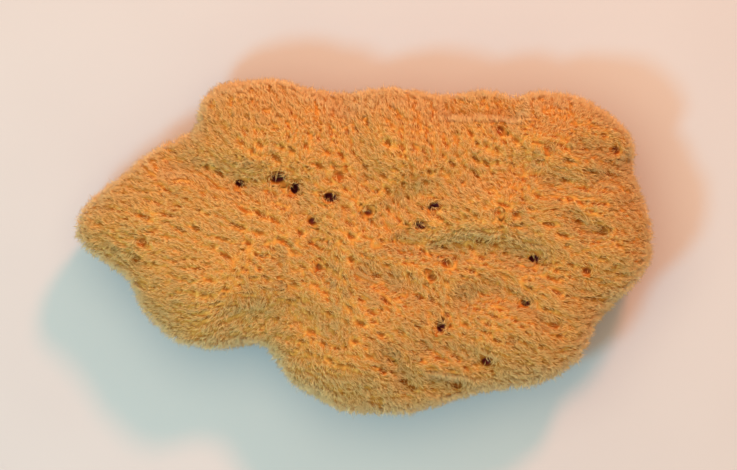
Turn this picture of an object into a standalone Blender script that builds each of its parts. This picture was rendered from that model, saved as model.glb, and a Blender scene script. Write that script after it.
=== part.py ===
"""A natural sea sponge: one soft, lobed mass, cut flat underneath where it grew on rock, and dried.

Folds run between its lobes. The large pores, called oscula, open along the folds, smaller ones open
on its sides, and the canals that the knife crossed open on the cut face. The solid reaches the tips
of the fleece. Metres, +Z up. The origin is the middle of the cut face, and +X runs along the length.
"""

import math

import bmesh
import bpy
import numpy as np
from mathutils import Matrix, Vector, noise
from mathutils.bvhtree import BVHTree

MM = 0.001

# Overall size
LENGTH = 130.0 * MM
WIDTH = 75.5 * MM
HEIGHT = 41.0 * MM

# The outline seen from above, in millimetres: one row for each lobe, anticlockwise from the right
OUTLINE = (
    ((65.4, 0.5), (65.0, 5.0), (63.4, 9.8), (62.0, 13.5), (61.2, 17.0)),
    ((60.8, 19.5), (61.8, 22.5), (60.6, 26.3), (57.0, 29.8), (51.5, 32.5), (44.5, 34.2)),
    ((38.0, 34.6), (33.5, 34.2), (29.0, 35.3), (23.5, 35.1), (17.5, 34.4)),
    ((11.8, 35.5), (5.5, 36.0), (-0.5, 35.5)),
    ((-4.8, 34.4), (-9.0, 35.6), (-15.5, 37.1), (-23.0, 38.0), (-29.3, 37.8), (-34.0, 36.0)),
    ((-36.6, 32.0), (-37.4, 28.0), (-42.0, 24.8), (-48.0, 21.2), (-54.0, 16.4), (-60.5, 11.2)),
    ((-64.0, 7.3), (-64.4, 3.6), (-62.4, 0.0), (-58.0, -3.8), (-53.0, -7.4)),
    ((-50.6, -10.8), (-48.8, -14.4), (-44.8, -18.5), (-38.6, -21.9), (-31.5, -22.6)),
    ((-25.5, -22.1), (-21.2, -22.6), (-19.2, -25.2), (-17.4, -28.4), (-13.8, -32.4)),
    ((-7.5, -35.8), (-0.5, -37.2), (6.5, -37.6), (14.0, -36.2), (21.5, -34.6)),
    ((29.0, -32.4), (37.0, -31.2), (43.5, -28.9), (48.3, -24.8), (51.5, -18.8), (55.0, -14.4)),
    ((59.0, -9.9), (63.0, -5.6), (65.0, -2.4)),
)

# How the body rounds off inwards from the outline: the widest level, then the reach of the rounding
WIDEST_LEVEL = 22.0 * MM
ROUNDING_ABOVE = 11.0 * MM
ROUNDING_BELOW = 16.0 * MM
SUNK_BELOW_CUT = 4.0 * MM
CROWN = 34.5 * MM
CROWN_DROOP = 5.0 * MM

# The lobes' own swellings, in millimetres: name, x, y, reach, height
SWELLS = (
    ("left", -47.0, 7.0, 11.0, 1.5),
    ("lower_left", -33.0, -8.0, 11.0, 3.0),
    ("upper_left", -20.5, 26.5, 11.0, 4.0),
    ("upper_middle", 7.5, 24.5, 11.0, 4.5),
    ("top_bump", 27.0, 31.0, 5.0, 2.5),
    ("upper_right", 43.0, 23.5, 10.5, 4.0),
    ("ridge", 28.0, 9.0, 10.5, 4.5),
    ("right", 50.0, 4.0, 10.0, 3.0),
    ("lower_right", 37.0, -20.0, 9.5, 3.5),
    ("lower", 2.5, -21.5, 12.5, 4.0),
    ("middle", -4.0, 1.5, 13.0, 2.5),
    ("left_shoulder", -27.0, 8.0, 9.5, 2.0),
)

# Folds between the lobes, in millimetres: depth, half width, and the line that each follows in plan
FOLDS = (
    (2.8, 3.4, ((-43, 21), (-39.5, 19.5), (-32.5, 16.5), (-27.5, 14.3), (-21, 14), (-15.5, 13.3))),
    (1.7, 3.2, ((-15.5, 13.3), (-11.8, 7.3), (-10, 0.5), (-8.6, -5.7))),
    (2.3, 3.4, ((2.5, 5.7), (7.7, 9.5), (12.7, 12.5), (18.5, 14.5), (26.5, 17), (37.5, 18.2))),
    (3.0, 2.9, ((9.3, 1.2), (16, -0.2), (24, 0.2), (31, -0.7), (37.7, -2.5))),
    (2.5, 2.5, ((23, -11), (29.8, -9.3), (35.5, -11.8), (42.7, -17))),
    (2.6, 2.8, ((42, 15), (49.8, 14.3), (54.5, 15.9), (61, 19))),
    (2.4, 1.9, ((47.3, 6.1), (49.8, 4.3), (53, 3.2))),
    (2.4, 3.8, ((-29.3, -17), (-23.2, -15.7), (-16.8, -14.8), (-9, -18.9))),
    (2.4, 2.2, ((5.5, -23.9), (8.2, -27.5), (10.5, -31.5))),
    (2.2, 2.2, ((15, -22.3), (21.8, -23.4), (27.3, -25.7))),
    (2.4, 1.9, ((15.5, -30.5), (21.4, -32))),
    (1.8, 2.6, ((0.2, -5.2), (5.9, -6.6), (10.9, -8.9))),
    (3.0, 1.9, ((19.5, 32.3), (25.2, 31.6), (33.6, 31.4))),
    (2.4, 2.0, ((48.6, 23), (53.2, 22.7), (56.8, 21.8))),
    (1.6, 3.8, ((-4.3, 33.4), (-2.7, 27.7), (-1.4, 22), (0.5, 15.2))),
)

# Oscula on the upper side, in millimetres: x, y, width along, width across, turn in degrees, depth
OSCULA = (
    (-22.5, 28.4, 2.8, 1.3, 8, 4.5),
    (-19.8, 24.8, 1.5, 1.3, -30, 4.0),
    (-27.5, 14.1, 3.0, 1.7, -8, 7.5),
    (-19.1, 15.0, 4.0, 2.3, 12, 9.0),
    (-15.2, 13.0, 2.3, 2.6, 10, 8.0),
    (-7.5, 11.1, 4.1, 2.0, -12, 9.0),
    (-5.2, 15.9, 2.5, 2.3, 0, 2.6),
    (-11.4, 5.7, 2.3, 2.0, 0, 3.4),
    (1.1, 7.7, 2.3, 1.6, -15, 4.5),
    (15.4, 9.4, 3.6, 1.6, 22, 8.0),
    (12.0, 4.8, 3.4, 1.7, -6, 8.0),
    (15.9, 0.4, 1.7, 1.2, 0, 3.2),
    (18.2, -3.0, 2.4, 1.7, -25, 4.5),
    (37.7, -2.7, 2.7, 1.8, -10, 6.5),
    (35.9, -12.3, 2.5, 1.7, -25, 5.5),
    (17.3, -17.3, 1.9, 3.8, -8, 9.0),
    (27.3, -25.7, 2.9, 2.0, -8, 4.5),
    (42.5, -17.3, 2.2, 1.3, -15, 3.8),
    (49.5, -5.5, 3.1, 1.5, -5, 3.4),
    (56.4, 21.6, 2.2, 2.4, 0, 3.4),
    (30.2, 26.4, 2.2, 2.4, 0, 3.6),
    (-49.3, 1.1, 1.9, 2.2, 0, 3.4),
    (-51.1, -3.0, 1.5, 3.2, 22, 3.4),
    (-55.9, -1.1, 2.6, 1.3, -20, 2.6),
    (-9.8, -4.8, 1.5, 2.6, 15, 4.5),
    (-7.3, -7.8, 1.9, 1.3, -30, 3.8),
    (-18.4, -8.6, 1.9, 1.4, -30, 4.2),
    (-3.9, -10.2, 1.6, 1.5, 0, 2.6),
    (6.8, -24.1, 2.0, 1.3, 0, 3.8),
    (11.1, -24.5, 1.9, 1.3, 8, 3.8),
    (4.8, -27.2, 2.2, 1.7, 0, 2.8),
    (9.2, -30.3, 1.4, 2.4, 15, 3.2),
    (20.9, -31.2, 3.2, 1.4, -15, 3.8),
    (15.2, -6.8, 2.1, 1.8, 0, 3.2),
    (25.5, 1.1, 1.8, 1.6, 0, 3.2),
    (29.8, 7.7, 2.4, 1.2, -20, 3.2),
    (9.3, 16.4, 2.1, 1.2, -15, 2.8),
    (-25.9, 18.2, 3.6, 1.3, -12, 3.0),
    (-37.3, 19.0, 2.6, 1.3, -25, 2.8),
    (41.1, 22.0, 2.3, 1.7, -20, 2.8),
    (32.7, -20.7, 2.1, 1.3, -20, 3.8),
    (52.5, 3.4, 2.8, 1.3, -35, 2.8),
)

# Canals on the cut face, in millimetres, in the same order
BASE_CANALS = (
    (-31.0, 2.0, 5.2, 3.8, 20, 9.0),
    (-13.0, -12.0, 3.4, 4.4, 0, 8.0),
    (-9.0, 11.0, 4.6, 3.2, -30, 9.0),
    (12.0, -14.0, 5.4, 4.2, 40, 10.0),
    (20.0, 12.0, 4.0, 3.0, 10, 8.0),
    (38.0, -4.0, 5.0, 3.8, -15, 9.0),
    (34.0, 15.0, 3.2, 3.8, 0, 7.0),
)

# Pores on the sides: each is the golden angle on from the one before, and their heights and widths
# step round their ranges
SIDE_PORES = 17
SIDE_PORE_WIDTHS = (1.8 * MM, 3.4 * MM)
SIDE_PORE_DEPTH = 5.5 * MM
SIDE_PORE_HEIGHTS = (9.0 * MM, 27.0 * MM)
SIDE_PORE_NARROWNESS = 0.75
SIDE_PORE_HEIGHT_STEP = 7
SIDE_PORE_WIDTH_STEP = 5
GOLDEN_ANGLE = math.radians(137.508)

# How fine the skin is, how lumpy, and the least upward slope at which a fold has its full depth
OUTLINE_STEPS = 6
RINGS = 26
SKIN_VOXEL = 1.3 * MM
SOFTENING_ROUNDS = 6
LUMP_SIZE = 9.0 * MM
LUMP_HEIGHT = 1.1 * MM
TUFT_SIZE = 4.2 * MM
TUFT_HEIGHT = 0.6 * MM
TUFT_SHIFT = Vector((17.0, 5.0, 3.0))
FULL_FOLD_SLOPE = 0.5
BODY_TRIANGLES = 5200
CUT_RIM_ANGLE = math.radians(48.0)

# A pore: its wall at several depths, as (share of its depth, share of its width), how uneven it is
# round about and how soon that changes with depth, and how much it turns upright from the surface
PORE_SIDES = 8
PORE_WALL = ((-0.45, 1.5), (-0.08, 1.08), (0.45, 0.78), (1.0, 0.4))
PORE_WOBBLE = 0.3
PORE_WANDER = 3.0
PORE_UPRIGHTNESS = 1.5

SPONGIN_TAN = (0.65, 0.29, 0.075, 1.0)
SPONGIN_ROUGHNESS = 0.95


def clear_scene():
    for obj in list(bpy.data.objects):
        bpy.data.objects.remove(obj)


def linked(name, bm):
    """A new object in the scene that holds what bm holds."""
    mesh = bpy.data.meshes.new(name)
    bm.to_mesh(mesh)
    bm.free()
    obj = bpy.data.objects.new(name, mesh)
    bpy.context.scene.collection.objects.link(obj)
    return obj


def settle_modifiers(obj):
    """Makes the modifiers' result the object's own mesh."""
    graph = bpy.context.evaluated_depsgraph_get()
    obj.data = bpy.data.meshes.new_from_object(obj.evaluated_get(graph))
    obj.modifiers.clear()


def smooth_outline():
    """The outline as a closed curve through its points, with OUTLINE_STEPS stretches between two."""
    points = [Vector(point) * MM for row in OUTLINE for point in row]
    curve = []
    for number, here in enumerate(points):
        before, after = points[number - 1], points[(number + 1) % len(points)]
        beyond = points[(number + 2) % len(points)]
        for step in range(OUTLINE_STEPS):
            t = step / OUTLINE_STEPS
            curve.append(
                0.5
                * (
                    2 * here
                    + (after - before) * t
                    + (2 * before - 5 * here + 4 * after - beyond) * t**2
                    + (3 * here - before - 3 * after + beyond) * t**3
                )
            )
    return np.array(curve)


def crown_level(places):
    """The level of the top over each place in plan, where the rounding doesn't reach."""
    x, y = places[..., 0], places[..., 1]
    level = CROWN - CROWN_DROOP * ((2 * x / LENGTH) ** 2 + (2 * y / WIDTH) ** 2) / 2
    for _, swell_x, swell_y, reach, height in SWELLS:
        away = np.hypot(x - swell_x * MM, y - swell_y * MM) / (reach * MM)
        level = level + height * MM * np.exp(-(away**2))
    return level


def rounding(depth, reach):
    """A quarter circle: 0 at the outline, 1 where the place is reach or deeper inside it."""
    share = np.clip(depth / reach, 0.0, 1.0)
    return np.sqrt(1.0 - (1.0 - share) ** 2)


def domed_body():
    """The outline swollen up into a dome above its widest level, and rounded under below it."""
    outline = smooth_outline()
    shares = 1.0 - (np.arange(RINGS) / RINGS) ** 2
    plan = shares[:, None, None] * outline[None]
    depth = np.min(np.linalg.norm(plan[:, :, None] - outline[None, None], axis=3), axis=2)
    over = WIDEST_LEVEL + (crown_level(plan) - WIDEST_LEVEL) * rounding(depth, ROUNDING_ABOVE)
    under = WIDEST_LEVEL - (WIDEST_LEVEL + SUNK_BELOW_CUT) * rounding(depth, ROUNDING_BELOW)
    middle = np.zeros(2)

    bm = bmesh.new()
    rim = [bm.verts.new((x, y, WIDEST_LEVEL)) for x, y in outline]
    for level, pole in ((over, crown_level(middle)), (under, -SUNK_BELOW_CUT)):
        outer = rim
        for ring in range(1, RINGS):
            inner = [
                bm.verts.new((x, y, z)) for (x, y), z in zip(plan[ring], level[ring])
            ]
            for side in range(len(outline)):
                bm.faces.new((outer[side - 1], outer[side], inner[side], inner[side - 1]))
            outer = inner
        top = bm.verts.new((0.0, 0.0, pole))
        for side in range(len(outline)):
            bm.faces.new((outer[side - 1], outer[side], top))
    bmesh.ops.recalc_face_normals(bm, faces=bm.faces[:])
    body = linked("sponge", bm)
    skin = body.modifiers.new("Skin", "REMESH")
    skin.mode = "VOXEL"
    skin.voxel_size = SKIN_VOXEL
    soften = body.modifiers.new("Soften", "SMOOTH")
    soften.iterations = SOFTENING_ROUNDS
    settle_modifiers(body)
    return body


def distance_to_line(point, line):
    """How far a point in plan is from a line of several straight runs."""
    nearest = math.inf
    for start, end in zip(line, line[1:]):
        run = end - start
        share = max(0.0, min(1.0, (point - start).dot(run) / run.length_squared))
        nearest = min(nearest, (start + share * run - point).length)
    return nearest


def fold_depth(point, folds):
    """How deep the deepest fold is over this point in plan."""
    deepest = 0.0
    for depth, half_width, line in folds:
        share = distance_to_line(point, line) / half_width
        deepest = max(deepest, depth * math.exp(-share * share))
    return deepest


def shape_surface(body):
    """Sinks the folds into the upper side, and raises lumps and coarse tufts all over."""
    folds = [
        (depth * MM, half_width * MM, [Vector(place) * MM for place in line])
        for depth, half_width, line in FOLDS
    ]
    moves = []
    for vertex in body.data.vertices:
        place, normal = vertex.co, vertex.normal
        facing_up = max(0.0, min(1.0, normal.z / FULL_FOLD_SLOPE))
        sink = fold_depth(place.xy, folds) * facing_up
        lump = LUMP_HEIGHT * noise.noise(place / LUMP_SIZE)
        tuft = TUFT_HEIGHT * noise.noise(place / TUFT_SIZE + TUFT_SHIFT)
        moves.append(normal * (lump + tuft - sink))
    for vertex, move in zip(body.data.vertices, moves):
        vertex.co += move
    body.data.update()


def thin_out(body):
    """Keeps as many triangles as the broad form needs."""
    triangles = sum(len(face.vertices) - 2 for face in body.data.polygons)
    thin = body.modifiers.new("Thin", "DECIMATE")
    thin.ratio = BODY_TRIANGLES / triangles
    settle_modifiers(body)


def fit_to_size(body):
    """Brings the part above the cut to LENGTH, WIDTH and HEIGHT, with its middle over the origin."""
    places = [vertex.co for vertex in body.data.vertices]
    low = Vector(min(place[axis] for place in places) for axis in range(3))
    high = Vector(max(place[axis] for place in places) for axis in range(3))
    middle = Vector(((low.x + high.x) / 2, (low.y + high.y) / 2, 0.0))
    stretch = Vector((LENGTH / (high.x - low.x), WIDTH / (high.y - low.y), HEIGHT / high.z, 1.0))
    body.data.transform(Matrix.Diagonal(stretch) @ Matrix.Translation(-middle))


def cut_flat(body):
    """Cuts the sponge off its rock at Z 0 and closes the cut."""
    bm = bmesh.new()
    bm.from_mesh(body.data)
    bmesh.ops.bisect_plane(
        bm,
        geom=bm.verts[:] + bm.edges[:] + bm.faces[:],
        plane_co=(0, 0, 0),
        plane_no=(0, 0, 1),
        clear_inner=True,
    )
    rim = [edge for edge in bm.edges if edge.is_boundary]
    bmesh.ops.edgeloop_fill(bm, edges=rim)
    bmesh.ops.triangulate(bm, faces=bm.faces[:])
    bmesh.ops.recalc_face_normals(bm, faces=bm.faces[:])
    bm.to_mesh(body.data)
    bm.free()


def pore_frame(outward, turn):
    """Axes for a pore: Z is outward, and X is the turn away from +X, seen from above."""
    along = Vector((math.cos(turn), math.sin(turn), 0))
    across = outward.cross(along).normalized()
    return Matrix((across.cross(outward), across, outward)).transposed()


def add_pore(bm, mouth, outward, along, across, turn, depth):
    """Adds the shape of one pore: a wobbly tapering bag that starts outside the surface."""
    frame = pore_frame(outward, turn)
    rings = []
    for depth_share, width_share in PORE_WALL:
        ring = []
        for side in range(PORE_SIDES):
            angle = 2 * math.pi * side / PORE_SIDES
            round_spot = Vector((math.cos(angle), math.sin(angle), PORE_WANDER * depth_share))
            spot = mouth / MM + round_spot
            reach = width_share * (1 + PORE_WOBBLE * noise.noise(spot))
            offset = Vector(
                (
                    along / 2 * reach * math.cos(angle),
                    across / 2 * reach * math.sin(angle),
                    -depth * depth_share,
                )
            )
            ring.append(bm.verts.new(mouth + frame @ offset))
        rings.append(ring)
    for upper, lower in zip(rings, rings[1:]):
        for side in range(PORE_SIDES):
            after = (side + 1) % PORE_SIDES
            bm.faces.new((upper[side], lower[side], lower[after], upper[after]))
    bm.faces.new(rings[0])
    bm.faces.new(reversed(rings[-1]))


def pore_shapes(body):
    """All the pores and canals as one cutting object."""
    surface = BVHTree.FromObject(body, bpy.context.evaluated_depsgraph_get())
    far = 2 * LENGTH
    up, down = Vector((0, 0, 1)), Vector((0, 0, -1))
    bm = bmesh.new()
    for x, y, along, across, turn, depth in OSCULA:
        mouth, normal, _, _ = surface.ray_cast(Vector((x * MM, y * MM, far)), down)
        outward = (normal + PORE_UPRIGHTNESS * up).normalized()
        add_pore(bm, mouth, outward, along * MM, across * MM, math.radians(turn), depth * MM)
    for x, y, along, across, turn, depth in BASE_CANALS:
        mouth = Vector((x, y, 0)) * MM
        add_pore(bm, mouth, down, along * MM, across * MM, math.radians(turn), depth * MM)
    lowest, highest = SIDE_PORE_HEIGHTS
    narrowest, widest = SIDE_PORE_WIDTHS
    for number in range(SIDE_PORES):
        bearing = number * GOLDEN_ANGLE
        inward = Vector((-math.cos(bearing), -math.sin(bearing), 0))
        height_share = number * SIDE_PORE_HEIGHT_STEP % SIDE_PORES / SIDE_PORES
        height = lowest + (highest - lowest) * height_share
        start = Vector((0, 0, height)) - inward * far
        mouth, normal, _, _ = surface.ray_cast(start, inward)
        width_share = number * SIDE_PORE_WIDTH_STEP % SIDE_PORES / SIDE_PORES
        width = narrowest + (widest - narrowest) * width_share
        across = SIDE_PORE_NARROWNESS * width
        crosswise = bearing + math.pi / 2
        add_pore(bm, mouth, normal, width, across, crosswise, SIDE_PORE_DEPTH)
    bmesh.ops.recalc_face_normals(bm, faces=bm.faces[:])
    cutter = linked("pore_cutter", bm)
    cutter.hide_render = True
    cutter.display_type = "WIRE"
    return cutter


def open_pores(body):
    cut = body.modifiers.new("Pores", "BOOLEAN")
    cut.operation = "DIFFERENCE"
    cut.object = pore_shapes(body)
    cut.use_self = True


def spongin():
    """Dry, matt, tan fibre."""
    material = bpy.data.materials.new("spongin")
    material.use_nodes = True
    shader = material.node_tree.nodes["Principled BSDF"]
    shader.inputs["Base Color"].default_value = SPONGIN_TAN
    shader.inputs["Roughness"].default_value = SPONGIN_ROUGHNESS
    shader.inputs["Metallic"].default_value = 0.0
    return material


def main():
    clear_scene()
    body = domed_body()
    shape_surface(body)
    thin_out(body)
    fit_to_size(body)
    cut_flat(body)
    body.data.materials.append(spongin())
    body.data.shade_smooth()
    body.data.set_sharp_from_angle(angle=CUT_RIM_ANGLE)
    open_pores(body)


main()
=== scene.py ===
import math

import bpy
import numpy as np
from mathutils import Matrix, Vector, noise
from mathutils.bvhtree import BVHTree
from mathutils.kdtree import KDTree


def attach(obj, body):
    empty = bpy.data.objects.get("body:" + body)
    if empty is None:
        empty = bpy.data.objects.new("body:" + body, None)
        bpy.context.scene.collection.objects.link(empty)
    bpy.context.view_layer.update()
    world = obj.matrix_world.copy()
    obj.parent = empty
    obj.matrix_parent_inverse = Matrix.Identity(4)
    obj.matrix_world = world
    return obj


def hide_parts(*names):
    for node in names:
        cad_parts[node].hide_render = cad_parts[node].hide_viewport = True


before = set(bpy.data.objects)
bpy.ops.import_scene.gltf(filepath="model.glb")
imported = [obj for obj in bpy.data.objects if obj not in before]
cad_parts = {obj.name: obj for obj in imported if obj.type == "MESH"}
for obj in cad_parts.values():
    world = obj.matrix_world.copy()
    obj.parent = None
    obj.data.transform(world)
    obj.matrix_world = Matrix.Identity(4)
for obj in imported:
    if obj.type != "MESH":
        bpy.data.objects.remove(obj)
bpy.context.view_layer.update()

MM = 0.001
SEED = 20

# Where each noise is read, so that no two of them have the same lumps
COMB_SHIFT = 11.0
PATCH_SHIFT = 3.0
RAGGED_SHIFT = 4.0
FINE_SHIFT = 7.0
PIT_EDGE_SHIFT = 9.0

# The core, on which the fleece grows: the grain of its skin, how far it is set in from the solid,
# its triangles, and its lowest level
CORE_VOXEL = 0.48 * MM
CORE_INSET = 0.85 * MM
CORE_INSET_IN_PITS = 0.1 * MM
INSET_LOST_ON_CUT_FACE = 0.6
CORE_TRIANGLES = 196000
LOWEST_CORE = 0.2 * MM

# Below this level, or where it faces down, this share of the core's corners is thinned the most
SEEN_ABOVE = 20.0 * MM
FACES_DOWN = -0.2
HIDDEN_THINNING = 0.8

# Openness is the share of rays into the sky that nothing of the sponge stops. In a pit it is low,
# and in a fold it is taken as if the pits were bridged over.
SKY_RAYS = 16
SKY_REACH = 12.0 * MM
SKY_START = 0.25 * MM
PIT_OPENNESS = 0.5
BRIDGED_OPENNESS = 0.62

# How often values are averaged with their neighbours'
PIT_ROUNDS = 2
FOLD_ROUNDS = 60
UP_ROUNDS = 6
BROAD_UP_ROUNDS = 70

# From none to all of the cut face, by its slope and level, of the underneath, and of the inset
CUT_FACE_SLOPE = (-0.85, -0.97)
CUT_FACE_LEVEL = (1.2 * MM, 0.4 * MM)
UNDERNEATH_SLOPE = (0.2, -0.2)
INSET_OPENNESS = (0.12, 0.36)
INSET_OPENNESS_ADDED_UNDERNEATH = (0.18, 0.24)

# Which way the fleece is combed, seen from above: x and y in millimetres, the direction in degrees
# anticlockwise from +X, and how plainly it shows
COMBS = (
    (-50, 6, -18, 0.9),
    (-38, 10, -24, 1.0),
    (-28, 0, -22, 0.9),
    (-38, -11, -4, 0.7),
    (-24, -17, 22, 0.5),
    (-22, 27, -50, 0.3),
    (-8, 13, -28, 0.4),
    (-2, 27, -58, 0.5),
    (9, 18, -55, 0.6),
    (22, 24, -62, 0.3),
    (44, 26, -20, 0.7),
    (44, 12, -8, 0.9),
    (26, 7, -14, 0.8),
    (53, 2, -8, 1.0),
    (44, -8, -14, 0.8),
    (36, -20, -20, 0.8),
    (14, -14, -40, 0.3),
    (-6, -12, -36, 0.5),
    (-4, -28, -20, 0.6),
    (12, -30, -8, 0.8),
)
COMB_REACH = 11.0 * MM

# The comb wanders by up to this angle in radians, and leans away from a line along the sponge. On
# the flanks, where the slope is between these two, it gives way to fibres that hang.
COMB_WANDER = 0.4
COMB_WANDER_SIZE = 6.0 * MM
MIDDLE_LINE_X = (-25.0 * MM, 30.0 * MM)
MIDDLE_LINE_Y = 1.0 * MM
SIDE_SHARPNESS = 3.0
FLANK_SLOPE = (0.15, 0.6)
LEAST_LEAN = 0.3
HANG = 0.5

# Small pores between the tufts: the least distance between two, and the mouths' radii
PORE_TRIALS = 70000
PORE_SPACING = (0.95 * MM, 3.1 * MM)
PORE_RADIUS = (0.20 * MM, 0.62 * MM)
CUT_FACE_PORE_SPACING = (2.2 * MM, 4.2 * MM)
CUT_FACE_PORE_RADIUS = (0.45 * MM, 1.1 * MM)
PORE_DEPTH = 1.2 * MM
PORE_OPENNESS = 0.4

# Small pores outnumber large ones by this power, and large ones come in patches
PORE_SIZE_POWER = 1.5
PATCH_SIZE = 9.0 * MM
PATCH_SHARES = (0.45, 1.1)

# How much longer than wide a combed pore is at most, and how uneven its edge is
PORE_STRETCH = 2.5
STRETCH_UNCOMBED = 0.15
STRETCH_POWER = 0.7
STRETCH_NARROWING = 0.4
PORE_RAGGEDNESS = 0.7
PORE_RAGGED_SIZE = 0.55 * MM

# The faintest pore's share of the full depth, and where a pit begins and is full, in mouths
LEAST_PORE_FORCE = 0.35
PORE_FORCE_POWER = 0.8
PIT_MOUTHS = (0.6, 1.5)

# Tufts, which are sown farthest from the pores' mouths first and kept clear of them, and the fine
# unevenness, which both lift the core between the pores
TUFT_SPACING = 1.25 * MM
TUFT_HEIGHT = 0.08 * MM
TUFT_HALF_WIDTH = 0.45 * MM
MOUTHS_COUNTED = 0.5
MOUTHS_KEPT_CLEAR = 1.2
FINE_SIZE = 0.9 * MM
FINE_HEIGHT = 0.07 * MM
LIFT_LOST_ON_CUT_FACE = 0.5
LIFT_OPENNESS = (0.1, 0.5)

# Where fibres grow: few in small pores, few in deep pits, and fewer on what faces down
FIBRE_COUNT = 132000
TRIALS_A_FIBRE = 1.5
LOST_IN_PORES = 0.97
GROWN_DEPTH = (1.4 * MM, 0.6 * MM)
GROWN_SLOPE = (-0.6, 0.25)
GROWN_FACING_DOWN = 0.28

# A fibre's size. Each pair is the least share of it, and the most that chance adds to that.
FIBRE_LENGTH = 1.85 * MM
FIBRE_RADIUS = 0.058 * MM
LENGTH_SHARES = (0.65, 0.7)
RADIUS_SHARES = (0.7, 0.6)
FUZZ_SHARE = 0.08
FUZZ_LENGTH = 1.3
SHORT_DEPTH = (0.2 * MM, 1.6 * MM)
LENGTH_LOST_IN_PITS = 0.6
LENGTH_LOST_ON_CUT_FACE = 0.65
LENGTH_LOST_IN_PORES = 0.5

# A fibre's way: its lower half is turned from upright, and its upper half from the lower one
TUFT_REACH = 0.7 * MM
TUFT_PULL = 0.15
PORE_REACH = 2.2
PORE_PUSH = 0.2
COMBED = 0.9
TUFT_STRAY = 0.16
LOWER_STRAY = 0.2
UPPER_STRAY = 0.3
LOWER_WAY_KEPT = 0.6

# The levels that a fibre keeps above, and how deep its root is in the core
LOWEST_FIBRE = 0.15 * MM
LOWEST_CORNER = 0.05 * MM
ROOT_DEPTH = 0.15 * MM

# A fibre is left out if a place along it is over a pore, within this many mouths of its middle and
# seen from this much lower, or over a deep pit, within a reach in millimetres that is longer along
# the comb
PLACES_ALONG = (0.3, 0.5, 0.7, 0.85, 1.0)
OVER_PORE = 0.9 * MM
CLEAR_MOUTHS = 1.4
CLEAR_FORCE = 1.4
DEEP_PIT_FLOOR = 1.2 * MM
DEEP_PIT_SLOPE = 0.3
PIT_REACH = 0.27
PIT_EDGE = 0.5
PIT_EDGE_SIZE = 0.9 * MM
PIT_SEARCH = 3.0 * MM
PIT_REACH_ALONG = 1.7
PIT_REACH_ACROSS = 0.7
OVER_PIT_SHARE = 0.97
SEEN_FROM_ABOVE = np.array((1.0, 1.0, 0.3))

# A fibre's corners are its root, the ring half way, and its tip
FIBRE_FACES = np.array(((0, 2, 1), (0, 3, 2), (0, 1, 3), (1, 2, 4), (2, 3, 4), (3, 1, 4)))
FIBRE_CORNERS = 5
SHARE_ALONG = np.array((0.0, 0.5, 0.5, 0.5, 1.0))
REGIONS = ("left", "middle_left", "middle_right", "right")

# What a fibre's tone owes to chance and to its tuft. Open flanks get painted light, a lighter
# colour standing in for light on them, and the top doesn't.
OWN_SHADE = 0.85
TUFT_SHADE = 0.15
FLANK_LIGHT_SLOPE = (0.15, 0.85)
FLANK_LIGHT_OPENNESS = (0.5, 0.8)

# Colours, and the stops of the ramps between them
BLACK = (0.0, 0.0, 0.0)
WHITE = (1.0, 1.0, 1.0)
ROOT_COLOUR = (0.80, 0.375, 0.073)
BODY_COLOUR = (0.92, 0.528, 0.150)
TIP_COLOUR = (0.95, 0.61, 0.238)
PATCH_COLOUR = (0.84, 0.40, 0.095)
# Painted shade in folds
FOLD_SHADE_COLOUR = (0.66, 0.37, 0.12)
# Painted light on the open flanks
FLANK_LIGHT_COLOUR = (0.97, 0.66, 0.30)
# Painted shade between the tufts, lighter on their crests
SHADED_GAP_COLOUR = (0.54, 0.22, 0.036)
CREST_COLOUR = (0.66, 0.31, 0.064)
# Painted shade in pores; the wall and deep colours further down are painted shade in pits
PIT_SHADE_COLOUR = (0.31, 0.078, 0.008)
SPECKLE_COLOUR = (0.48, 0.14, 0.018)
WALL_SHADE_COLOUR = (0.36, 0.095, 0.011)
DEEP_SHADE_COLOUR = (0.22, 0.030, 0.030)
ALONG_STOPS = ((0.0, ROOT_COLOUR), (0.45, BODY_COLOUR), (1.0, TIP_COLOUR))
IN_FOLD_STOPS = ((0.30, BLACK), (0.56, WHITE))
SHADE_STOPS = ((0.0, (0.92, 0.90, 0.86)), (0.5, WHITE), (1.0, (1.04, 1.05, 1.07)))
# Painted shade on fibres, darker the deeper they stand in a pit
PIT_SHADE_STOPS = ((0.1, WHITE), (0.45, (0.80, 0.52, 0.33)), (1.0, (0.35, 0.12, 0.08)))
GAP_SHADE_STOPS = ((0.1, SHADED_GAP_COLOUR), (0.8, CREST_COLOUR))
IN_PORE_STOPS = ((0.05, BLACK), (0.6, WHITE))
ON_WALL_STOPS = ((0.1, BLACK), (0.3, WHITE))
IN_DEEP_STOPS = ((0.4, BLACK), (0.75, WHITE))
DEEP_PIT = 4.0  # millimetres

# Noises in the colours: the size of their lumps, the levels that become none and all, and detail
PATCH_NOISE = (9.0 * MM, 0.35, 0.7)
FOLD_SHADE_NOISE = (7.0 * MM, 0.35, 0.65, 3.0)
SPECKLE_NOISE = (0.35 * MM, 0.3, 0.7, 3.0)
FLOOR_NOISE = (60.0 * MM, 0.3, 0.7)
BUMP_HEIGHT = 0.15 * MM

# The most that patches, painted light on the flanks, painted shade in folds and speckles cover the
# colour beneath
PATCHES = 0.16
FLANK_LIGHT_MOST = 0.95
FOLD_SHADE_MOST = 0.4
SPECKLES = 0.35
LIGHT_THROUGH_FIBRES = 0.3

# The floor
FLOOR_HALF_WIDTH = 2.0
FLOOR_LEVEL = -0.05 * MM
FLOOR_COLOURS = ((0.47, 0.388, 0.338), (0.49, 0.408, 0.355))

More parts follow.
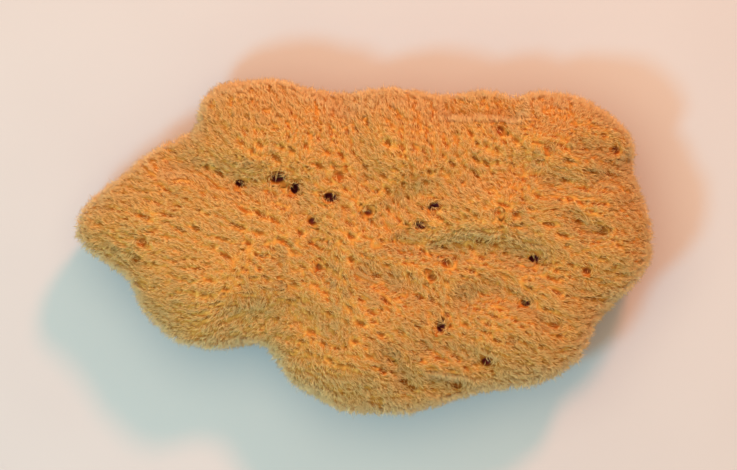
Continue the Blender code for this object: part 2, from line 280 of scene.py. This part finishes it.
# Lights: name, direction in degrees anticlockwise from +X, height in degrees, distance, width,
# power in watts, colour
LIGHTS = (
    ("warm_light", 66.0, 49.0, 0.9, 0.135, 6.1, (1.0, 0.36, 0.22)),
    ("cool_light", 218.0, 65.0, 0.4, 0.064, 1.2, (0.06, 0.62, 1.0)),
    ("overhead_light", 135.0, 80.0, 0.4, 0.3, 0.9, (1.0, 1.0, 0.82)),
)
LIT_PLACE = Vector((0, 0, 15 * MM))
SKY_COLOUR = (1.0, 0.99, 0.84, 1.0)
SKY_STRENGTH = 0.70

# The camera looks straight down. Its lens and sensor are in millimetres.
CAMERA_PLACE = (1.0 * MM, 2.7 * MM, 620.0 * MM)
CAMERA_LENS = 129.0
CAMERA_SENSOR = 36.0

rng = np.random.default_rng(SEED)


# Sums with many places at once
def smoothstep(low, high, value):
    share = np.clip((value - low) / (high - low), 0.0, 1.0)
    return share * share * (3.0 - 2.0 * share)


def between(limits, share):
    return limits[0] + (limits[1] - limits[0]) * share


def unit(vectors):
    return vectors / np.maximum(np.linalg.norm(vectors, axis=1), 1e-12)[:, None]


def dot(first, second):
    return np.einsum("ij,ij->i", first, second)


def along_surface(vectors, ups):
    return vectors - ups * dot(vectors, ups)[:, None]


def noise_at(places, size, shift):
    """Smooth noise from -1 to 1, whose lumps are about as wide as size."""
    offset = Vector((shift, 2.0 * shift, -shift))
    return np.array([noise.noise(Vector(place) / size + offset) for place in places])


def tree_of(places):
    tree = KDTree(len(places))
    for number, place in enumerate(places):
        tree.insert(place, number)
    tree.balance()
    return tree


def nearest(tree, places, count):
    """The numbers and distances of the nearest count points in the tree, for each place."""
    numbers = np.empty((len(places), count), dtype=np.int64)
    distances = np.empty((len(places), count))
    for row, place in enumerate(places):
        for column, (_, number, distance) in enumerate(tree.find_n(place, count)):
            numbers[row, column] = number
            distances[row, column] = distance
    return numbers, distances


def scattered(candidates, spacings):
    """Takes candidates in their order, and leaves out each that is too near to one taken before."""
    tree = tree_of(candidates)
    free = np.ones(len(candidates), dtype=bool)
    taken = []
    for number in range(len(candidates)):
        if not free[number]:
            continue
        taken.append(number)
        for _, near, _ in tree.find_range(candidates[number], spacings[number]):
            free[near] = False
    return np.array(taken)


# Meshes as arrays
def vertex_places(mesh):
    places = np.empty(len(mesh.vertices) * 3)
    mesh.vertices.foreach_get("co", places)
    return places.reshape(-1, 3)


def vertex_normals(mesh):
    normals = np.empty(len(mesh.vertices) * 3)
    mesh.vertex_normals.foreach_get("vector", normals)
    return normals.reshape(-1, 3)


def edges_of(mesh):
    edges = np.empty(len(mesh.edges) * 2, dtype=np.int32)
    mesh.edges.foreach_get("vertices", edges)
    return edges.reshape(-1, 2)


def triangles_of(mesh):
    mesh.calc_loop_triangles()
    corners = np.empty(len(mesh.loop_triangles) * 3, dtype=np.int32)
    mesh.loop_triangles.foreach_get("vertices", corners)
    return corners.reshape(-1, 3)


def place_vertices(mesh, places):
    mesh.vertices.foreach_set("co", places.ravel())
    mesh.update()


def float_attribute(mesh, name, values):
    attribute = mesh.attributes.new(name, "FLOAT", "POINT")
    attribute.data.foreach_set("value", np.asarray(values, dtype=np.float32))


def softened(values, edges, rounds):
    """Averages each vertex's value with its neighbours', round after round."""
    neighbours = np.bincount(edges.ravel(), minlength=len(values))
    for _ in range(rounds):
        total = np.bincount(edges[:, 0], weights=values[edges[:, 1]], minlength=len(values))
        total += np.bincount(edges[:, 1], weights=values[edges[:, 0]], minlength=len(values))
        values = 0.5 * (values + total / neighbours)
    return values


def softened_ways(ways, edges, rounds):
    return unit(np.stack([softened(ways[:, axis], edges, rounds) for axis in range(3)], axis=1))


def random_on_surface(places, corners, weights, count):
    """Random points on the triangles, by area and weight, as three corner numbers and shares."""
    edge_1 = places[corners[:, 1]] - places[corners[:, 0]]
    edge_2 = places[corners[:, 2]] - places[corners[:, 0]]
    area = np.linalg.norm(np.cross(edge_1, edge_2), axis=1)
    chance = area * weights[corners].mean(axis=1)
    chosen = rng.choice(len(corners), size=count, p=chance / chance.sum())
    a, b = rng.random(count), rng.random(count)
    over = a + b > 1.0
    a[over], b[over] = 1.0 - a[over], 1.0 - b[over]
    return corners[chosen], np.stack((1.0 - a - b, a, b), axis=1)


def at_points(values, corner_numbers, shares):
    """The vertices' values at points that random_on_surface gave."""
    picked = values[corner_numbers]
    if picked.ndim == 3:
        return np.einsum("ijk,ij->ik", picked, shares)
    return np.einsum("ij,ij->i", picked, shares)


# The core
def apply_modifiers(piece):
    graph = bpy.context.evaluated_depsgraph_get()
    piece.data = bpy.data.meshes.new_from_object(piece.evaluated_get(graph))
    piece.modifiers.clear()


def remeshed_copy(source, name, voxel):
    """A new object with a skin of even small faces over the source's shape."""
    piece = bpy.data.objects.new(name, source.data.copy())
    bpy.context.scene.collection.objects.link(piece)
    piece.data.materials.clear()
    skin = piece.modifiers.new("Skin", "REMESH")
    skin.mode = "VOXEL"
    skin.voxel_size = voxel
    apply_modifiers(piece)
    return piece


def thin_hidden_sides(piece):
    """Brings the piece to its number of triangles, most of all where it isn't seen from above."""
    height = vertex_places(piece.data)[:, 2]
    rise = vertex_normals(piece.data)[:, 2]
    hidden = (height < SEEN_ABOVE) | (rise < FACES_DOWN)
    hidden &= rng.random(len(height)) < HIDDEN_THINNING
    thinned = piece.vertex_groups.new(name="thinned")
    thinned.add(np.flatnonzero(hidden).tolist(), 1.0, "REPLACE")
    thin = piece.modifiers.new("Thin", "DECIMATE")
    thin.ratio = CORE_TRIANGLES / len(triangles_of(piece.data))
    thin.vertex_group = "thinned"
    thin.vertex_group_factor = 1.0
    apply_modifiers(piece)


def openness_of(places, normals, surface):
    """The share of the sky over each place that nothing of the sponge covers."""
    turn = math.pi * (3.0 - math.sqrt(5.0)) * np.arange(SKY_RAYS)
    rise = np.sqrt((np.arange(SKY_RAYS) + 0.5) / SKY_RAYS)
    flat = np.sqrt(1.0 - rise**2)
    sky = np.stack((flat * np.cos(turn), flat * np.sin(turn), rise), axis=1)
    openness = np.empty(len(places))
    for row, (place, normal) in enumerate(zip(places, normals)):
        up = Vector(normal)
        start = Vector(place) + up * SKY_START
        turned = np.array(up.to_track_quat("Z", "Y").to_matrix())
        free = 0
        for ray in sky @ turned.T:
            if surface.ray_cast(start, ray, SKY_REACH)[0] is None:
                free += 1
        openness[row] = free / SKY_RAYS
    return openness


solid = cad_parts["sponge"]
solid_surface = BVHTree.FromObject(solid, bpy.context.evaluated_depsgraph_get())
core = remeshed_copy(solid, "sponge_core", CORE_VOXEL)
thin_hidden_sides(core)

places = vertex_places(core.data)
normals = vertex_normals(core.data)
edges = edges_of(core.data)
core_tree = tree_of(places)
openness = softened(openness_of(places, normals, solid_surface), edges, PIT_ROUNDS)
core_ups = softened_ways(normals, edges, UP_ROUNDS)
broad_rise = softened_ways(normals, edges, BROAD_UP_ROUNDS)[:, 2]

# How deep each place lies in a pit, and the folds' openness with the pits in them bridged over
outside = np.flatnonzero(openness > PIT_OPENNESS)
within = np.flatnonzero(openness <= PIT_OPENNESS)
at_rim, rim_gap = nearest(tree_of(places[outside]), places[within], 1)
pit_depth = np.zeros(len(places))
pit_depth[within] = rim_gap[:, 0]
pit_depth = softened(pit_depth, edges, PIT_ROUNDS)
bridged = openness.copy()
bridged[within] = np.maximum(openness[outside[at_rim[:, 0]]], BRIDGED_OPENNESS)
broad_openness = softened(bridged, edges, FOLD_ROUNDS)

cut_face = smoothstep(*CUT_FACE_SLOPE, normals[:, 2]) * smoothstep(*CUT_FACE_LEVEL, places[:, 2])
underneath = smoothstep(*UNDERNEATH_SLOPE, broad_rise)
no_inset_at = INSET_OPENNESS[0] + INSET_OPENNESS_ADDED_UNDERNEATH[0] * underneath
full_inset_at = INSET_OPENNESS[1] + INSET_OPENNESS_ADDED_UNDERNEATH[1] * underneath
inset = between((CORE_INSET_IN_PITS, CORE_INSET), smoothstep(no_inset_at, full_inset_at, openness))
inset = inset * (1.0 - INSET_LOST_ON_CUT_FACE * cut_face)
places = places - normals * inset[:, None]
place_vertices(core.data, places)
corners = triangles_of(core.data)


# The comb
def lean_of(places, ups):
    """The comb's axis at each place, how plainly it shows, and which way the fibres lean."""
    angle = np.zeros(len(places))
    strength = np.zeros(len(places))
    total = np.full(len(places), 1e-9)
    for x, y, degrees, plainness in COMBS:
        away = np.hypot(places[:, 0] - x * MM, places[:, 1] - y * MM) / COMB_REACH
        weight = np.exp(-(away**2)) + 1e-7
        angle += weight * math.radians(degrees)
        strength += weight * plainness
        total += weight
    angle = angle / total + COMB_WANDER * noise_at(places, COMB_WANDER_SIZE, COMB_SHIFT)
    strength = strength / total
    axis = np.stack((np.cos(angle), np.sin(angle), np.zeros(len(places))), axis=1)
    middle_x = np.clip(places[:, 0], *MIDDLE_LINE_X)
    middle_y = np.full(len(places), MIDDLE_LINE_Y)
    outwards = unit(places - np.stack((middle_x, middle_y, places[:, 2]), axis=1))
    side = np.tanh(SIDE_SHARPNESS * dot(axis, outwards))
    steep = 1.0 - smoothstep(*FLANK_SLOPE, ups[:, 2])
    shown = side * between((LEAST_LEAN, 1.0), strength)
    lean = axis * shown[:, None] * (1.0 - steep[:, None])
    lean[:, 2] -= HANG * steep
    comb = unit(along_surface(axis + (0.0, 0.0, 0.01), ups))
    return comb, strength, along_surface(lean, ups)


# Small pores
trial_corners, trial_shares = random_on_surface(places, corners, np.ones(len(places)), PORE_TRIALS)
trials = at_points(places, trial_corners, trial_shares)
size_share = rng.random(len(trials)) ** PORE_SIZE_POWER
patch = 0.5 + 0.5 * noise_at(trials, PATCH_SIZE, PATCH_SHIFT)
size_share = np.clip(size_share * (PATCH_SHARES[0] + PATCH_SHARES[1] * patch), 0.0, 1.0)
on_cut_face = at_points(cut_face, trial_corners, trial_shares) > 0.5
cut_face_spacing = between(CUT_FACE_PORE_SPACING, size_share)
cut_face_radius = between(CUT_FACE_PORE_RADIUS, size_share)
spacing = np.where(on_cut_face, cut_face_spacing, between(PORE_SPACING, size_share))
radius = np.where(on_cut_face, cut_face_radius, between(PORE_RADIUS, size_share))
good = np.flatnonzero(at_points(openness, trial_corners, trial_shares) > PORE_OPENNESS)
taken = good[scattered(trials[good], spacing[good])]
pores, pore_radius = trials[taken], radius[taken]
pore_tree = tree_of(pores)

# Tufts, on the places that are farthest from the pores first
trial_pores, trial_gaps = nearest(pore_tree, trials, 1)
trial_radius = pore_radius[trial_pores[:, 0]]
order = np.argsort(-(trial_gaps[:, 0] - MOUTHS_COUNTED * trial_radius))
tuft_taken = order[scattered(trials[order], np.full(len(trials), TUFT_SPACING))]
clear = trial_gaps[tuft_taken, 0] > MOUTHS_KEPT_CLEAR * trial_radius[tuft_taken]
tufts = trials[tuft_taken[clear]]
tuft_tree = tree_of(tufts)

pore_numbers, _ = nearest(core_tree, pores, 1)
pore_axis, pore_streak, _ = lean_of(pores, core_ups[pore_numbers[:, 0]])
pore_stretch = PORE_STRETCH * between((STRETCH_UNCOMBED, 1.0), pore_streak)
pore_stretch = 1.0 + pore_stretch * rng.random(len(pores)) ** STRETCH_POWER
pore_force = between((LEAST_PORE_FORCE, 1.0), rng.random(len(pores)) ** PORE_FORCE_POWER)


def pore_shares(places):
    """How near each place is to the middle of a pore, in mouths, and which pore that is."""
    numbers, _ = nearest(pore_tree, places, 3)
    shares = np.empty(numbers.shape)
    for column in range(3):
        number = numbers[:, column]
        offset = places - pores[number]
        along = dot(offset, pore_axis[number])
        across = np.sqrt(np.maximum(dot(offset, offset) - along**2, 0.0))
        stretch = pore_stretch[number]
        widened = np.hypot(along / stretch, across * stretch**STRETCH_NARROWING)
        shares[:, column] = widened / pore_radius[number]
    best = shares.argmin(axis=1)
    rows = np.arange(len(places))
    ragged = 1.0 + PORE_RAGGEDNESS * noise_at(places, PORE_RAGGED_SIZE, RAGGED_SHIFT)
    return shares[rows, best] * ragged, numbers[rows, best]


# The pores carved in the core, and the tufts raised on it
pore_share, which_pore = pore_shares(places)
pit = (1.0 - smoothstep(*PIT_MOUTHS, pore_share)) * pore_force[which_pore]
_, tuft_gap = nearest(tuft_tree, places, 1)
crest = np.exp(-((tuft_gap[:, 0] / TUFT_HALF_WIDTH) ** 2))
fine = noise_at(places, FINE_SIZE, FINE_SHIFT)
wide_share = 0.5 + 0.5 * pore_radius[which_pore] / PORE_RADIUS[1]
lift = TUFT_HEIGHT * crest + FINE_HEIGHT * fine - PORE_DEPTH * pit * wide_share
lift = lift * (1.0 - LIFT_LOST_ON_CUT_FACE * cut_face) * smoothstep(*LIFT_OPENNESS, openness)
carved = places + normals * lift[:, None]
carved[:, 2] = np.maximum(carved[:, 2], LOWEST_CORE)
place_vertices(core.data, carved)
float_attribute(core.data, "pit", pit)
float_attribute(core.data, "pit_depth", pit_depth / MM)
float_attribute(core.data, "crest", crest)
core.data.shade_smooth()

# The fibres' roots
density = (1.0 - LOST_IN_PORES * pit) * smoothstep(*GROWN_DEPTH, pit_depth)
grown = between((GROWN_FACING_DOWN, 1.0), smoothstep(*GROWN_SLOPE, core_ups[:, 2]))
density = density * grown + 1e-6
trial_count = int(TRIALS_A_FIBRE * FIBRE_COUNT)
root_corners, root_shares = random_on_surface(carved, corners, density, trial_count)
roots = at_points(carved, root_corners, root_shares)
ups = unit(at_points(core_ups, root_corners, root_shares))
root_open = at_points(openness, root_corners, root_shares)
root_fold = 1.0 - at_points(broad_openness, root_corners, root_shares)
root_depth = at_points(pit_depth, root_corners, root_shares)
root_rise = at_points(broad_rise, root_corners, root_shares)
root_cut = at_points(cut_face, root_corners, root_shares)
root_pit = at_points(pit, root_corners, root_shares)
near_tuft = nearest(tuft_tree, roots, 1)[0][:, 0]

# The fibres' ways: combed in tufts, drawn to the middle of the tuft, and away from a pore
tuft_numbers, _ = nearest(core_tree, tufts, 1)
_, _, tuft_way = lean_of(tufts, core_ups[tuft_numbers[:, 0]])
tuft_lean = tuft_way + TUFT_STRAY * rng.normal(size=tufts.shape)
tuft_shade = rng.random(len(tufts))
to_tuft = along_surface(tufts[near_tuft] - roots, ups) / TUFT_REACH
to_tuft /= np.maximum(1.0, np.linalg.norm(to_tuft, axis=1))[:, None]
root_share, root_pore = pore_shares(roots)
from_pore = unit(along_surface(roots - pores[root_pore], ups))
from_pore *= np.exp(-((root_share / PORE_REACH) ** 2))[:, None]
lean = COMBED * along_surface(tuft_lean[near_tuft], ups)
stray = LOWER_STRAY * rng.normal(size=roots.shape)
lower_way = unit(ups + TUFT_PULL * to_tuft + PORE_PUSH * from_pore + lean + stray)
upper_way = unit(LOWER_WAY_KEPT * lower_way + lean + UPPER_STRAY * rng.normal(size=roots.shape))

length = FIBRE_LENGTH * (LENGTH_SHARES[0] + LENGTH_SHARES[1] * rng.random(len(roots)))
length *= np.where(rng.random(len(roots)) < FUZZ_SHARE, FUZZ_LENGTH, 1.0)
length *= 1.0 - LENGTH_LOST_IN_PITS * smoothstep(*SHORT_DEPTH, root_depth)
length *= (1.0 - LENGTH_LOST_ON_CUT_FACE * root_cut) * (1.0 - LENGTH_LOST_IN_PORES * root_pit)
mids = roots + lower_way * (0.5 * length)[:, None]
tips = mids + upper_way * (0.5 * length)[:, None]
for points in (roots, mids, tips):
    points[:, 2] = np.maximum(points[:, 2], LOWEST_FIBRE)

# Fibres that would cover a pore or a deep pit are left out, but for a few strays
deep_places = np.flatnonzero((pit_depth > DEEP_PIT_FLOOR) & (core_ups[:, 2] > DEEP_PIT_SLOPE))
deep_sites = places[deep_places]
deep_tree = tree_of(deep_sites * SEEN_FROM_ABOVE)
comb_here = unit(tuft_way[near_tuft][:, :2] + 1e-9)
stray_share = rng.random(len(roots))
left_out = np.zeros(len(roots), dtype=bool)
for share_along in PLACES_ALONG:
    if share_along <= 0.5:
        points = roots + (mids - roots) * (2.0 * share_along)
    else:
        points = mids + (tips - mids) * (2.0 * share_along - 1.0)
    share, pore = pore_shares(points - ups * (OVER_PORE * share_along))
    left_out |= (share < CLEAR_MOUTHS) & (stray_share < CLEAR_FORCE * pore_force[pore])
    number, _ = nearest(deep_tree, points * SEEN_FROM_ABOVE, 1)
    offset = (points - deep_sites[number[:, 0]])[:, :2]
    along_comb = np.abs(dot(offset, comb_here))
    across = np.sqrt(np.maximum(dot(offset, offset) - along_comb**2, 0.0))
    reach = (PIT_REACH + PIT_EDGE * noise_at(points, PIT_EDGE_SIZE, PIT_EDGE_SHIFT)) * MM
    in_reach = np.hypot(along_comb / PIT_REACH_ALONG, across / PIT_REACH_ACROSS) < reach
    in_reach &= (offset**2).sum(axis=1) < PIT_SEARCH**2
    left_out |= in_reach & (stray_share < OVER_PIT_SHARE)
kept = np.flatnonzero(~left_out)[:FIBRE_COUNT]

roots, mids, tips = roots[kept], mids[kept], tips[kept]
lower_way, upper_way = lower_way[kept], upper_way[kept]
thickness = FIBRE_RADIUS * (RADIUS_SHARES[0] + RADIUS_SHARES[1] * rng.random(len(roots)))
shade = OWN_SHADE * rng.random(len(roots)) + TUFT_SHADE * tuft_shade[near_tuft[kept]]
# Painted light: fibres on open flanks that face sideways are coloured lighter
flank_light = 1.0 - smoothstep(*FLANK_LIGHT_SLOPE, root_rise[kept])
flank_light = flank_light * smoothstep(*FLANK_LIGHT_OPENNESS, root_open[kept])
fibre_values = (
    ("shade", shade),
    ("pit_depth", root_depth[kept] / MM),
    ("fold", root_fold[kept]),
    ("flank_light", flank_light),
)


def fibre_ring(centres, axes, radii):
    """Three corners of a ring round each centre."""
    helper = np.where(np.abs(axes[:, 2:3]) < 0.9, (0.0, 0.0, 1.0), (1.0, 0.0, 0.0))
    side = unit(np.cross(axes, helper))
    other = np.cross(axes, side)
    ring = []
    for corner in range(3):
        angle = 2.0 * math.pi * corner / 3.0
        ring.append(centres + radii[:, None] * (math.cos(angle) * side + math.sin(angle) * other))
    return np.stack(ring, axis=1)


def fleece(name, chosen):
    """One mesh of the chosen fibres."""
    foot = roots[chosen] - lower_way[chosen] * ROOT_DEPTH
    ring = fibre_ring(mids[chosen], upper_way[chosen], thickness[chosen])
    vertices = np.concatenate((foot[:, None], ring, tips[chosen][:, None]), axis=1).reshape(-1, 3)
    vertices[:, 2] = np.maximum(vertices[:, 2], LOWEST_CORNER)
    starts = np.arange(len(chosen))[:, None, None] * FIBRE_CORNERS
    faces = (FIBRE_FACES[None] + starts).reshape(-1, 3)
    mesh = bpy.data.meshes.new(name)
    mesh.vertices.add(len(vertices))
    mesh.vertices.foreach_set("co", vertices.ravel())
    mesh.loops.add(faces.size)
    mesh.loops.foreach_set("vertex_index", faces.ravel().astype(np.int32))
    mesh.polygons.add(len(faces))
    mesh.polygons.foreach_set("loop_start", np.arange(0, faces.size, 3, dtype=np.int32))
    mesh.update(calc_edges=True)
    float_attribute(mesh, "along", np.tile(SHARE_ALONG, len(chosen)))
    for title, values in fibre_values:
        float_attribute(mesh, title, np.repeat(values[chosen], FIBRE_CORNERS))
    mesh.shade_smooth()
    piece = bpy.data.objects.new(name, mesh)
    bpy.context.scene.collection.objects.link(piece)
    return piece


# Parts of materials
def new_material(name):
    material = bpy.data.materials.new(name)
    material.use_nodes = True
    return material, material.node_tree.nodes, material.node_tree.links


def attribute_node(nodes, name):
    node = nodes.new("ShaderNodeAttribute")
    node.attribute_type = "GEOMETRY"
    node.attribute_name = name
    return node.outputs["Fac"]


def ramp(nodes, links, factor, stops):
    node = nodes.new("ShaderNodeValToRGB")
    while len(node.color_ramp.elements) < len(stops):
        node.color_ramp.elements.new(0.5)
    for element, (position, colour) in zip(node.color_ramp.elements, stops):
        element.position = position
        element.color = (*colour, 1.0)
    links.new(factor, node.inputs["Fac"])
    return node.outputs["Color"]


def socket_named(node, name, kind):
    return next(s for s in node.inputs if s.name == name and s.type == kind)


def mix_colours(nodes, links, factor, first, second, blend="MIX"):
    node = nodes.new("ShaderNodeMix")
    node.data_type = "RGBA"
    node.blend_type = blend
    pairs = (
        (socket_named(node, "Factor", "VALUE"), factor),
        (socket_named(node, "A", "RGBA"), first),
        (socket_named(node, "B", "RGBA"), second),
    )
    for socket, value in pairs:
        if isinstance(value, (int, float)):
            socket.default_value = value
        elif isinstance(value, tuple):
            socket.default_value = (*value, 1.0)
        else:
            links.new(value, socket)
    return next(s for s in node.outputs if s.type == "RGBA")


def noise_factor(nodes, links, size, low, high, detail=2.0):
    """Noise with lumps about as wide as size, spread so that low to high becomes 0 to 1."""
    place = nodes.new("ShaderNodeTexCoord")
    texture = nodes.new("ShaderNodeTexNoise")
    texture.inputs["Scale"].default_value = 1.0 / size
    texture.inputs["Detail"].default_value = detail
    spread = nodes.new("ShaderNodeMapRange")
    spread.inputs["From Min"].default_value = low
    spread.inputs["From Max"].default_value = high
    links.new(place.outputs["Object"], texture.inputs["Vector"])
    links.new(texture.outputs["Fac"], spread.inputs["Value"])
    return spread.outputs["Result"]


def multiply(nodes, links, first, second):
    node = nodes.new("ShaderNodeMath")
    node.operation = "MULTIPLY"
    for socket, value in zip(node.inputs, (first, second)):
        if isinstance(value, (int, float)):
            socket.default_value = value
        else:
            links.new(value, socket)
    return node.outputs["Value"]


def set_surface(shader, roughness, gloss):
    shader.inputs["Roughness"].default_value = roughness
    shader.inputs["Specular IOR Level"].default_value = gloss


# Materials
def fleece_material():
    material, nodes, links = new_material("spongin_fibres")
    shader = nodes["Principled BSDF"]
    colour = ramp(nodes, links, attribute_node(nodes, "along"), ALONG_STOPS)
    patches = multiply(nodes, links, noise_factor(nodes, links, *PATCH_NOISE), PATCHES)
    colour = mix_colours(nodes, links, patches, colour, PATCH_COLOUR)
    # Painted light: fibres on open flanks are mixed towards a lighter colour
    flank_light_share = multiply(nodes, links, attribute_node(nodes, "flank_light"), FLANK_LIGHT_MOST)
    colour = mix_colours(nodes, links, flank_light_share, colour, FLANK_LIGHT_COLOUR)
    # Painted shade: fibres in folds, where less of the sky is open, are mixed towards a darker,
    # duller colour in noisy patches
    in_fold = ramp(nodes, links, attribute_node(nodes, "fold"), IN_FOLD_STOPS)
    fold_shade = multiply(nodes, links, noise_factor(nodes, links, *FOLD_SHADE_NOISE), in_fold)
    fold_shade = multiply(nodes, links, fold_shade, FOLD_SHADE_MOST)
    colour = mix_colours(nodes, links, fold_shade, colour, FOLD_SHADE_COLOUR)
    tone = ramp(nodes, links, attribute_node(nodes, "shade"), SHADE_STOPS)
    colour = mix_colours(nodes, links, 1.0, colour, tone, "MULTIPLY")
    # Painted shade: fibres are darker the deeper they stand in a pit
    depth_share = multiply(nodes, links, attribute_node(nodes, "pit_depth"), 1.0 / DEEP_PIT)
    pit_shade = ramp(nodes, links, depth_share, PIT_SHADE_STOPS)
    colour = mix_colours(nodes, links, 1.0, colour, pit_shade, "MULTIPLY")
    links.new(colour, shader.inputs["Base Color"])
    set_surface(shader, 0.85, 0.12)
    through = nodes.new("ShaderNodeBsdfTranslucent")
    links.new(colour, through.inputs["Color"])
    blend = nodes.new("ShaderNodeMixShader")
    blend.inputs["Fac"].default_value = LIGHT_THROUGH_FIBRES
    links.new(shader.outputs["BSDF"], blend.inputs[1])
    links.new(through.outputs["BSDF"], blend.inputs[2])
    links.new(blend.outputs["Shader"], nodes["Material Output"].inputs["Surface"])
    return material


def core_material():
    material, nodes, links = new_material("spongin_core")
    shader = nodes["Principled BSDF"]
    # Painted shade: the core is darker in the gaps between tufts than on their crests
    colour = ramp(nodes, links, attribute_node(nodes, "crest"), GAP_SHADE_STOPS)
    # Painted shade: the core is darker in the pores
    in_pore = ramp(nodes, links, attribute_node(nodes, "pit"), IN_PORE_STOPS)
    colour = mix_colours(nodes, links, in_pore, colour, PIT_SHADE_COLOUR)
    speckle = noise_factor(nodes, links, *SPECKLE_NOISE)
    speckles = multiply(nodes, links, speckle, SPECKLES)
    colour = mix_colours(nodes, links, speckles, colour, SPECKLE_COLOUR)
    # Painted shade: the core darkens on pit walls and most of all in deep pits
    depth_share = multiply(nodes, links, attribute_node(nodes, "pit_depth"), 1.0 / DEEP_PIT)
    on_wall = ramp(nodes, links, depth_share, ON_WALL_STOPS)
    colour = mix_colours(nodes, links, on_wall, colour, WALL_SHADE_COLOUR)
    in_deep = ramp(nodes, links, depth_share, IN_DEEP_STOPS)
    colour = mix_colours(nodes, links, in_deep, colour, DEEP_SHADE_COLOUR)
    links.new(colour, shader.inputs["Base Color"])
    set_surface(shader, 0.9, 0.05)
    bump = nodes.new("ShaderNodeBump")
    bump.inputs["Strength"].default_value = 0.5
    bump.inputs["Distance"].default_value = BUMP_HEIGHT
    links.new(speckle, bump.inputs["Height"])
    links.new(bump.outputs["Normal"], shader.inputs["Normal"])
    return material


def floor_material():
    material, nodes, links = new_material("pale_floor")
    shader = nodes["Principled BSDF"]
    mottle = noise_factor(nodes, links, *FLOOR_NOISE)
    colour = mix_colours(nodes, links, mottle, *FLOOR_COLOURS)
    links.new(colour, shader.inputs["Base Color"])
    set_surface(shader, 0.7, 0.2)
    return material


# The pieces
core.data.materials.append(core_material())
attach(core, "root")
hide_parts("sponge")

fibres = fleece_material()
limits = np.quantile(roots[:, 0], np.linspace(0.0, 1.0, len(REGIONS) + 1)[1:-1])
region_of = np.searchsorted(limits, roots[:, 0])
for number, region in enumerate(REGIONS):
    piece = fleece("fleece_" + region, np.flatnonzero(region_of == number))
    piece.data.materials.append(fibres)
    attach(piece, "root")


# Floor, lights and camera
def pale_floor():
    mesh = bpy.data.meshes.new("floor")
    signs = ((-1, -1), (1, -1), (1, 1), (-1, 1))
    square = [(x * FLOOR_HALF_WIDTH, y * FLOOR_HALF_WIDTH, FLOOR_LEVEL) for x, y in signs]
    mesh.from_pydata(square, [], [(0, 1, 2, 3)])
    mesh.materials.append(floor_material())
    floor = bpy.data.objects.new("floor", mesh)
    bpy.context.scene.collection.objects.link(floor)


def soft_light(name, turn, height, distance, width, power, colour):
    """A round light that faces the sponge."""
    data = bpy.data.lights.new(name, "AREA")
    data.shape = "DISK"
    data.size = width
    data.energy = power
    data.color = colour
    lamp = bpy.data.objects.new(name, data)
    bpy.context.scene.collection.objects.link(lamp)
    turn, height = math.radians(turn), math.radians(height)
    flat = math.cos(height)
    way = Vector((math.cos(turn) * flat, math.sin(turn) * flat, math.sin(height)))
    lamp.location = way * distance + LIT_PLACE
    lamp.rotation_euler = way.to_track_quat("Z", "Y").to_euler()


def soft_world():
    world = bpy.data.worlds.new("soft_fill")
    world.use_nodes = True
    background = world.node_tree.nodes["Background"]
    background.inputs["Color"].default_value = SKY_COLOUR
    background.inputs["Strength"].default_value = SKY_STRENGTH
    bpy.context.scene.world = world


def camera_above():
    data = bpy.data.cameras.new("camera")
    data.sensor_width = CAMERA_SENSOR
    data.lens = CAMERA_LENS
    camera = bpy.data.objects.new("camera", data)
    camera.location = CAMERA_PLACE
    bpy.context.scene.collection.objects.link(camera)
    bpy.context.scene.camera = camera


pale_floor()
for light in LIGHTS:
    soft_light(*light)
soft_world()
camera_above()
bpy.context.scene.view_settings.view_transform = "Standard"
